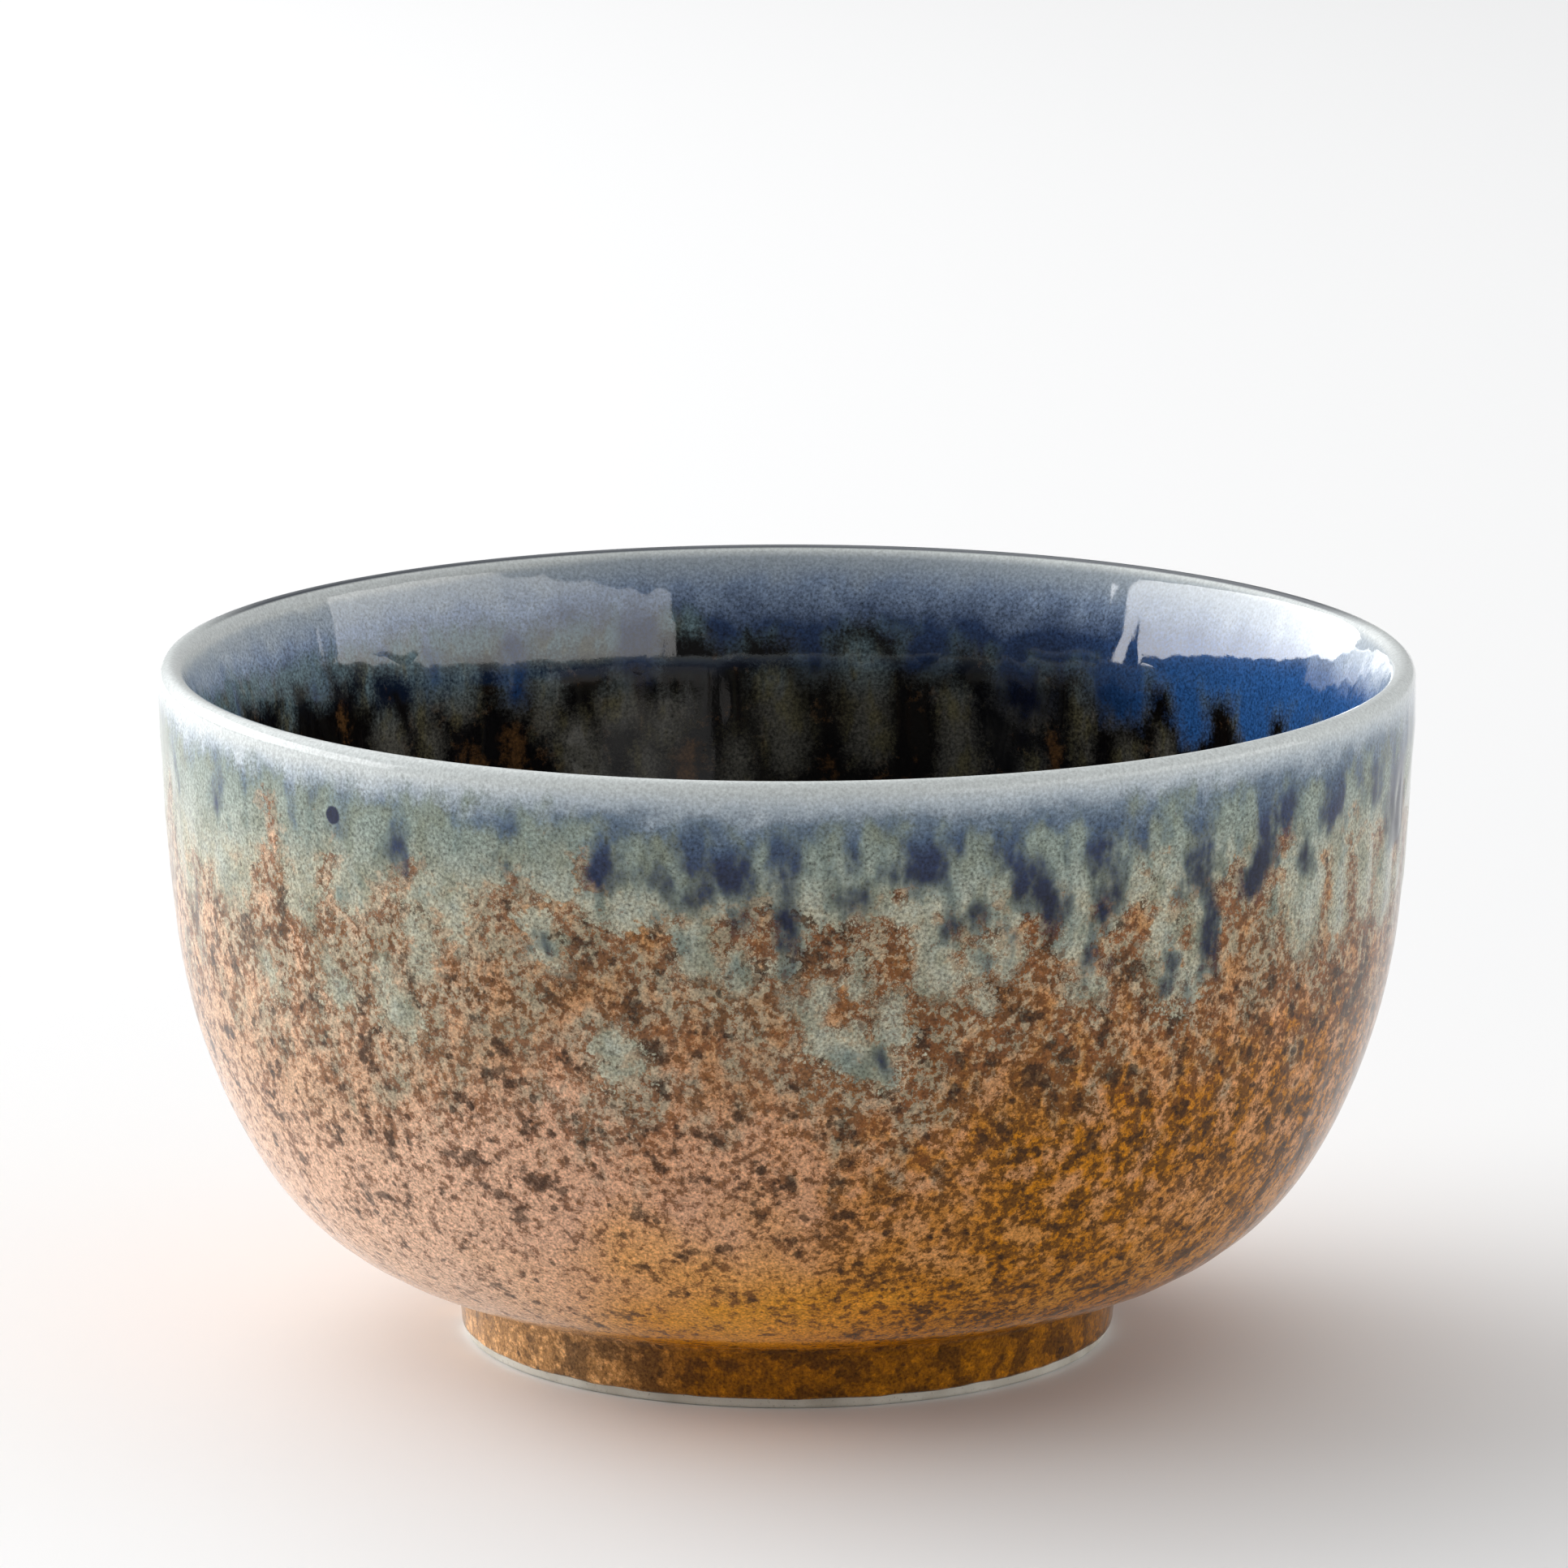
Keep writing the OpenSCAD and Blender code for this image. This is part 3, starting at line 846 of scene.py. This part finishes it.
class Glaze:
    """Noises and drip distances that the wall's colours share."""

    def __init__(self, g):
        self.g, self.at = g, g.place()
        self.wall = g.read("wall", True)
        across = g.node("SeparateXYZ", 0, None, Vector=self.wall)
        self.left = g.step(across, -14.0, -42.0)          # 1 on the side toward the window; colour keyed to it is painted paler there, as painted light
        self.fall, self.side = g.read("fall"), g.read("side")
        self.warm = g.read("warm")
        self.cloud = g.noise(self.at, 13 * MM, 2.0)
        self.blotch = g.noise(self.at, 3.4 * MM, 2.0, 0.55)
        self.mottle = g.noise(self.at, 0.9 * MM, 4.0, 0.72)
        self.clot = g.noise(self.at, 2.1 * MM, 4.0, 0.66)
        self.grain = g.noise(self.at, 0.3 * MM, 2.0, 0.6)
        self.veil = g.noise(g.stretch(self.wall, 3.0, 4.5), 1.0, 3.0, 0.6)
        self.streak = g.noise(g.stretch(self.wall, 1.9, 3.6), 1.0, 3.0, 0.5)
        ragged = g.add(centred(g, self.mottle, 9.0), centred(g, self.blotch, 9.0))
        ragged = g.times(ragged, g.scaled(self.side, -0.75, 1.0))
        self.sage = g.add(g.read("sage"), g.add(ragged, centred(g, self.grain, 2.0)))
        self.soft = g.scaled(self.side, 1.4, 0.5)
        soft = g.add(centred(g, self.streak, 7.0), centred(g, self.mottle, 1.6))
        soft = g.times(soft, g.scaled(self.side, -0.4, 1.0))
        # Painted light: the blue ends 1.1 mm higher on the window side, so that side shows paler.
        blue = g.scaled(self.left, -1.1, g.read("blue"))
        self.blue = g.add(blue, g.add(soft, centred(g, self.grain, 2.0)))
        self.close = g.step(self.sage, -15.0, -1.0)       # 1 next to the sage glaze

    def base(self):
        """Tan to amber coat under the drips, with brown mottling and iron specks, painted paler on
        the window side as painted light.
        """
        g, fall = self.g, self.fall
        # Painted light: on the window side the colour ramps are read 13 mm higher up, which paints
        # that side paler.
        level = g.add(g.add(fall, centred(g, self.cloud, 22.0)), g.times(self.left, -13.0))
        self.speckle = g.add(self.mottle, centred(g, self.blotch, 0.25))
        self.speckle = g.add(self.speckle, centred(g, self.grain, 0.3))
        cold = [(20, TAN), (30, PINK_TAN), (41, PINK_TAN), (56, PEACH), (68, GOLD)]
        cold = by_fall(g, level, cold)
        hot = [(20, TAN), (34, AMBER), (56, AMBER), (66, HONEY), (69, HONEY)]
        hot = by_fall(g, level, hot)
        heat = g.times(self.warm, g.step(self.blotch, 0.36, 0.54, 0.55, 1.0))
        tone = g.mix(heat, cold, hot)
        # Painted light: the lower wall on the window side is washed toward a pale pink.
        pale = g.times(self.left, g.step(fall, 44.0, 60.0, 0.5, 0.8))
        tone = g.mix(pale, tone, LIT_SIDE_PINK)
        # At the crease the colour turns to the foot's amber, painted as a lighter tan on the window
        # side: painted light.
        low = g.step(fall, CREASE - 0.8, CREASE + 0.8)
        tone = g.mix(low, tone, g.mix(self.left, FOOT_AMBER, LIT_SIDE_FOOT_TAN))
        tone = g.mix(self.haze(), tone, self.sage_tone())
        thin = g.step(fall, 32.0, 60.0, 0.0, 0.055)
        thin = g.times(thin, g.scaled(self.warm, -0.5, 1.0))
        thin = g.scaled(low, -0.075, thin)
        edge = g.times(g.step(self.sage, -2.5, -0.5), 0.03)
        bar = g.add(g.scaled(self.close, -0.02, 0.53), thin)
        bar = g.minus(g.scaled(self.warm, -0.04, bar), edge)
        brown = g.step(g.minus(self.speckle, bar), -0.04, 0.05)
        brown_tone = g.mix(self.warm, BROWN, OLIVE_BROWN)
        rust = g.mix(g.step(self.clot, 0.42, 0.6, 0.0, 0.8), RUST, DARK_RUST)
        brown_tone = g.mix(g.times(self.close, 0.8), brown_tone, rust)
        brown_tone = g.mix(g.step(self.streak, 0.42, 0.62, 0.0, 0.3), brown_tone, GOLD_BROWN)
        share = g.scaled(self.warm, 0.12, g.scaled(low, -0.34, 0.82))
        tone = g.mix(g.times(brown, share), tone, brown_tone)
        clot = g.times(centred(g, self.blotch, 0.5), g.scaled(low, 2.0, 1.0))
        clot = g.add(self.clot, clot)
        clot = g.scaled(self.warm, 0.02, clot)
        clot = g.step(g.minus(clot, g.times(thin, 0.4)), 0.57, 0.66)
        tone = g.mix(g.times(clot, g.scaled(low, -0.2, 0.72)), tone, DARK_BROWN)
        return self.specks(tone)

    def freckles(self):
        """Brown mottling that shows through the lower part of the sage."""
        g = self.g
        bar = g.step(self.fall, 10.0, 22.0, 0.68, 0.56)
        bar = g.add(bar, g.step(self.sage, 0.0, 9.0, 0.0, 0.06))
        bar = g.add(bar, g.step(self.fall, 22.0, 30.0, 0.0, 0.5))
        share = g.step(g.minus(self.speckle, bar), -0.03, 0.04, 0.0, 0.7)
        return g.times(share, g.minus(1.0, self.side))

    def haze(self):
        """Share of the sage that clouds the base coat below its edge."""
        g = self.g
        return g.step(g.add(self.sage, centred(g, self.veil, 44.0)), -11.0, 0.0, 0.0, 0.75)

    def specks(self, tone):
        """Dark iron specks, most of them half way down."""
        g = self.g
        shove = g.node("TexNoise", 1, None, Vector=self.at, Scale=900.0, Detail=2.0)
        bent = g.node("Mix", 1, {"data_type": "VECTOR"}, i0=SPECK_BEND, i4=self.at, i5=shove)
        often = g.step(self.fall, 14.0, 30.0, -0.08, 0.0)
        gap, pick = g.spots(bent, SPECK_GAP)
        size = g.add(g.step(pick, 0.6, 1.0, 0.0, 0.3), often)
        speck = g.step(g.minus(size, gap), 0.0, 0.09)
        return g.mix(g.times(speck, 0.72), tone, DARK_BROWN)

    def inner_base(self):
        """Lining near-black: a dark glaze deepened with painted shade, with warm brown specks."""
        g = self.g
        warm = g.step(g.add(self.mottle, centred(g, self.blotch, 0.8)), 0.6, 0.75, 0.0, 0.4)
        rust = g.add(centred(g, self.mottle, 5.0), centred(g, self.streak, 3.0))
        rust = g.step(g.add(g.read("rust"), rust), -1.2, 0.8, 0.0, 0.7)
        return g.mix(g.math("MAXIMUM", warm, rust), INNER_BLACK_AND_SHADE, INNER_BROWN)

    def sage_tone(self):
        """Sage glaze, which is mossy inside."""
        g = self.g
        cloudy = g.add(centred(g, self.streak, 7.0), centred(g, self.blotch, 6.0))
        grey = g.step(g.add(self.blue, cloudy), -2.8, 0.8, 0.0, 0.75)
        tone = g.mix(g.step(self.sage, 4.0, 0.0), SAGE, KHAKI)
        tone = g.mix(grey, tone, SAGE_GREY)
        level = g.add(self.fall, centred(g, self.blotch, 8.0))
        tone = g.mix(g.step(level, 6.0, 14.0, 0.8, 0.0), tone, SAGE_MIST)
        tone = g.mix(g.step(self.veil, 0.46, 0.66, 0.0, 0.55), tone, SAGE_OLIVE)
        inner = g.mix(g.step(self.fall, 9.0, 17.0), INNER_MIST, INNER_MOSS)
        inner = g.mix(g.step(self.streak, 0.45, 0.65, 0.0, 0.7), inner, INNER_OLIVE)
        return g.mix(self.side, tone, inner)

    def blue_tone(self):
        """Blue glaze, pale where it is thin on the lip and nearly black where it pools, and painted
        paler on the window side as painted light.
        """
        g = self.g
        level = g.add(self.fall, g.times(centred(g, self.blotch, 6.0), g.step(self.fall, 1.0, 6.0)))
        # Painted light: the blue's ramp is read paler on the window side.
        level = g.add(level, g.times(self.left, -0.9))
        stops = [
            (1.2, LIP_PALE), (2.6, LIP_GREY), (4.2, SLATE), (6, STEEL), (8, INDIGO), (12, NIGHT),
        ]
        outer = by_fall(g, level, stops)
        stops = [
            (0.9, LIP_PALE), (1.6, LIP_GREY), (2.5, INNER_GREY), (4.8, INNER_STEEL),
            (8.7, INNER_INDIGO), (14, INNER_NIGHT),
        ]
        inner = by_fall(g, level, stops)
        cobalt = g.times(self.warm, g.step(self.fall, 4.0, 8.0, 0.0, 0.9))
        inner = g.mix(cobalt, inner, COBALT)
        return g.mix(self.side, outer, inner)

    def back_lip_dark_reflection(self, tone):
        """Painted dark reflection: a dark line along the crown of the lip, at the back only."""
        g = self.g
        split = g.node("SeparateXYZ", 1, None, Vector=self.wall)
        back = g.step(split, 10.0, 30.0)
        line = g.step(self.fall, 0.75, 0.5)
        return g.mix(g.times(line, back), tone, LIP_DARK_REFLECTION)

    def ink_spots(self, tone):
        """Round blots of dark glaze."""
        g = self.g
        for az, fall, radius in INK_SPOTS:
            angle = math.radians(az)
            middle = (WALL_R * math.cos(angle), WALL_R * math.sin(angle), fall)
            gap = g.node("VectorMath", 1, {"operation": "DISTANCE"}, i0=self.wall, i1=middle)
            gap = g.add(gap, centred(g, self.mottle, 0.5))
            spot = g.step(gap, radius + 0.1, radius - 0.15, 0.0, 0.95)
            tone = g.mix(g.times(spot, g.minus(1.0, self.side)), tone, INK)
        return tone

    def colour(self):
        """Colour of the whole wall, with the glazes laid over each other."""
        g = self.g
        tone = g.mix(self.side, self.base(), self.inner_base())
        sage = self.sage_tone()
        edge = g.minus(0.0, self.soft)
        tone = g.mix(g.step(self.sage, edge, self.soft), tone, sage)
        tone = g.mix(self.freckles(), tone, RUST_BROWN)
        tone = g.mix(g.step(self.blue, -1.6, 1.5), tone, self.blue_tone())
        tone = self.ink_spots(self.back_lip_dark_reflection(tone))
        depth = g.step(self.fall, 0.5, 7.0, 0.8, 2.8)
        light = g.add(1.0, g.times(g.add(self.grain, -0.5), depth))
        light = g.node("CombineColor", 0, None, i0=light, i1=light, i2=light)
        return g.mix(1.0, tone, light, "MULTIPLY")


def glaze_material(name, specular, rough, pitting):
    """Glossy glaze that reads its drips from the mesh. Rough is the lowest and the highest
    roughness, and pitting the depth of the surface's unevenness in mm."""
    g = Graph(bpy.data.materials.new(name))
    glaze = Glaze(g)
    g.put(g.shader, "Base Color", glaze.colour())
    g.put(g.shader, "Roughness", g.step(glaze.mottle, 0.3, 0.7, *rough))
    g.put(g.shader, "IOR", 1.55)
    g.put(g.shader, "Specular IOR Level", specular)
    fine = g.bump(glaze.grain, 0.4 * pitting * MM)
    g.put(g.shader, "Normal", g.bump(glaze.mottle, pitting * MM, 1.0, fine))
    return g.owner


def clay_material(name):
    """Matt fired clay with fine grit."""
    g = Graph(bpy.data.materials.new(name))
    at = g.place()
    grit = g.noise(at, 0.3 * MM, 3.0, 0.7)
    cloud = g.noise(at, 4 * MM, 2.0)
    tone = g.mix(g.step(cloud, 0.3, 0.7), CLAY, CLAY_SHADE)
    tone = g.mix(g.step(grit, 0.62, 0.72), tone, GRIT)
    g.put(g.shader, "Base Color", tone)
    g.put(g.shader, "Roughness", g.step(grit, 0.3, 0.7, 0.62, 0.82))
    g.put(g.shader, "Normal", g.bump(grit, 0.05 * MM))
    return g.owner


# ---------------------------------------------------------------- the bowl

OUTER_WALL = Wall(0.0, 0, HAND_SPAN, (5.2, 13.5), BLUE_DRIPS, SAGE_LOBES, RUST_FINGERS)
INNER_WALL = Wall(1.0, 900, INNER_SPAN, (11.5, 9), INNER_BLUE_DRIPS, INNER_LOBES, INNER_RUST)

INSIDE_GLOSS = {"specular": 0.5, "rough": (0.02, 0.05), "pitting": 0.003}

amber = glaze_material("amber_glaze", specular=0.17, rough=(0.1, 0.2), pitting=0.02)
blue_grey = glaze_material("blue_glaze", specular=0.24, rough=(0.04, 0.1), pitting=0.008)
blue_grey_inside = glaze_material("blue_glaze_inside", **INSIDE_GLOSS)
dark = glaze_material("lining_glaze", **INSIDE_GLOSS)
bare = clay_material("clay")

outer_coat(amber)
rim_coat(blue_grey, blue_grey_inside)
lining(dark)
foot_coat(amber)
recess_coat(amber)
standing_ring(bare)
vessel(bare)


# ---------------------------------------------------------------- studio


FLOOR_HALF = 3.0                   # half the table's width, in m
TABLE_WHITE = srgb(238, 238, 238)


def floor():
    """Plain pale table that reaches past everything the camera sees."""
    mesh = bpy.data.meshes.new("floor")
    corners = [(-1, -1), (1, -1), (1, 1), (-1, 1)]
    mesh.from_pydata([(FLOOR_HALF * x, FLOOR_HALF * y, 0) for x, y in corners], [], [(0, 1, 2, 3)])
    made = bpy.data.objects.new("floor", mesh)
    bpy.context.scene.collection.objects.link(made)
    g = Graph(bpy.data.materials.new("floor"))
    g.put(g.shader, "Base Color", TABLE_WHITE)
    g.put(g.shader, "Roughness", 0.6)
    mesh.materials.append(g.owner)


def window(name, azimuth, distance, width, low, high, radiance, colour):
    """Upright bright panel that faces the bowl, at an azimuth in degrees and a distance in m.
    Low and high are the heights of its edges."""
    lamp = bpy.data.lights.new(name, "AREA")
    lamp.shape = "RECTANGLE"
    lamp.size, lamp.size_y = width, high - low
    lamp.energy = radiance * math.pi * width * (high - low)
    lamp.color = colour
    made = bpy.data.objects.new(name, lamp)
    angle = math.radians(azimuth)
    made.location = (
        distance * math.cos(angle), distance * math.sin(angle), (low + high) / 2
    )
    made.rotation_euler = (math.radians(90), 0, angle + math.radians(90))
    bpy.context.scene.collection.objects.link(made)


FRONT_LIGHT = 0.10                 # radiance of the room in front of the bowl
BACK_LIGHT = 0.46                  # radiance of the white wall behind it
CEILING_LIGHT = 0.52               # radiance that the ceiling adds
SKYLIGHT = 1.0                     # radiance that a soft patch of light above and behind it adds
SKYLIGHT_AZ = 125
SKYLIGHT_EL = 37
ROOM_COLOUR = (0.985, 0.99, 0.995, 1)


def direction(azimuth, elevation):
    """Unit vector that points to an azimuth and an elevation, in degrees."""
    az, el = math.radians(azimuth), math.radians(elevation)
    return (math.cos(el) * math.cos(az), math.cos(el) * math.sin(az), math.sin(el))


def toward(g, way, aim, low, high, bottom, top):
    """Value eased from bottom to top as the direction turns toward an aim."""
    turned = g.node("VectorMath", "Value", {"operation": "DOT_PRODUCT"}, i0=way, i1=aim)
    return g.step(turned, low, high, bottom, top)


def lights():
    """Window at the left, the lit wall opposite it, and the room, brighter behind and above."""
    window(
        "window", azimuth=159, distance=1.25, width=1.85, low=0.09, high=0.78,
        radiance=6.9, colour=(0.99, 0.99, 0.995),
    )
    window(
        "far_wall", azimuth=-25, distance=1.45, width=2.5, low=0.16, high=0.86,
        radiance=2.35, colour=(1.0, 0.995, 0.99),
    )
    world = bpy.data.worlds.new("studio")
    g = Graph(world)
    way = g.node("TexCoord", "Generated")
    room = toward(g, way, (0, 1, 0), -0.5, 0.5, FRONT_LIGHT, BACK_LIGHT)
    ceiling = toward(g, way, (0, 0, 1), 0.55, 0.85, 0.0, CEILING_LIGHT)
    patch = toward(g, way, direction(SKYLIGHT_AZ, SKYLIGHT_EL), 0.78, 0.97, 0.0, SKYLIGHT)
    g.put(g.shader, "Color", ROOM_COLOUR)
    g.put(g.shader, "Strength", g.add(g.add(room, ceiling), patch))
    bpy.context.scene.world = world


CAMERA_PLACE = (-0.0003, -0.9433, 0.2503)
CAMERA_PITCH = 11.786              # degrees below level
CAMERA_LENS = 230.9                # on a 36 mm sensor


def camera():
    """Camera in the photo's place."""
    data = bpy.data.cameras.new("camera")
    data.lens, data.sensor_width = CAMERA_LENS, 36
    made = bpy.data.objects.new("camera", data)
    made.location = CAMERA_PLACE
    made.rotation_euler = (math.radians(90 - CAMERA_PITCH), 0, 0)
    bpy.context.scene.collection.objects.link(made)
    bpy.context.scene.camera = made


floor()
lights()
camera()
bpy.context.scene.view_settings.view_transform = "Standard"
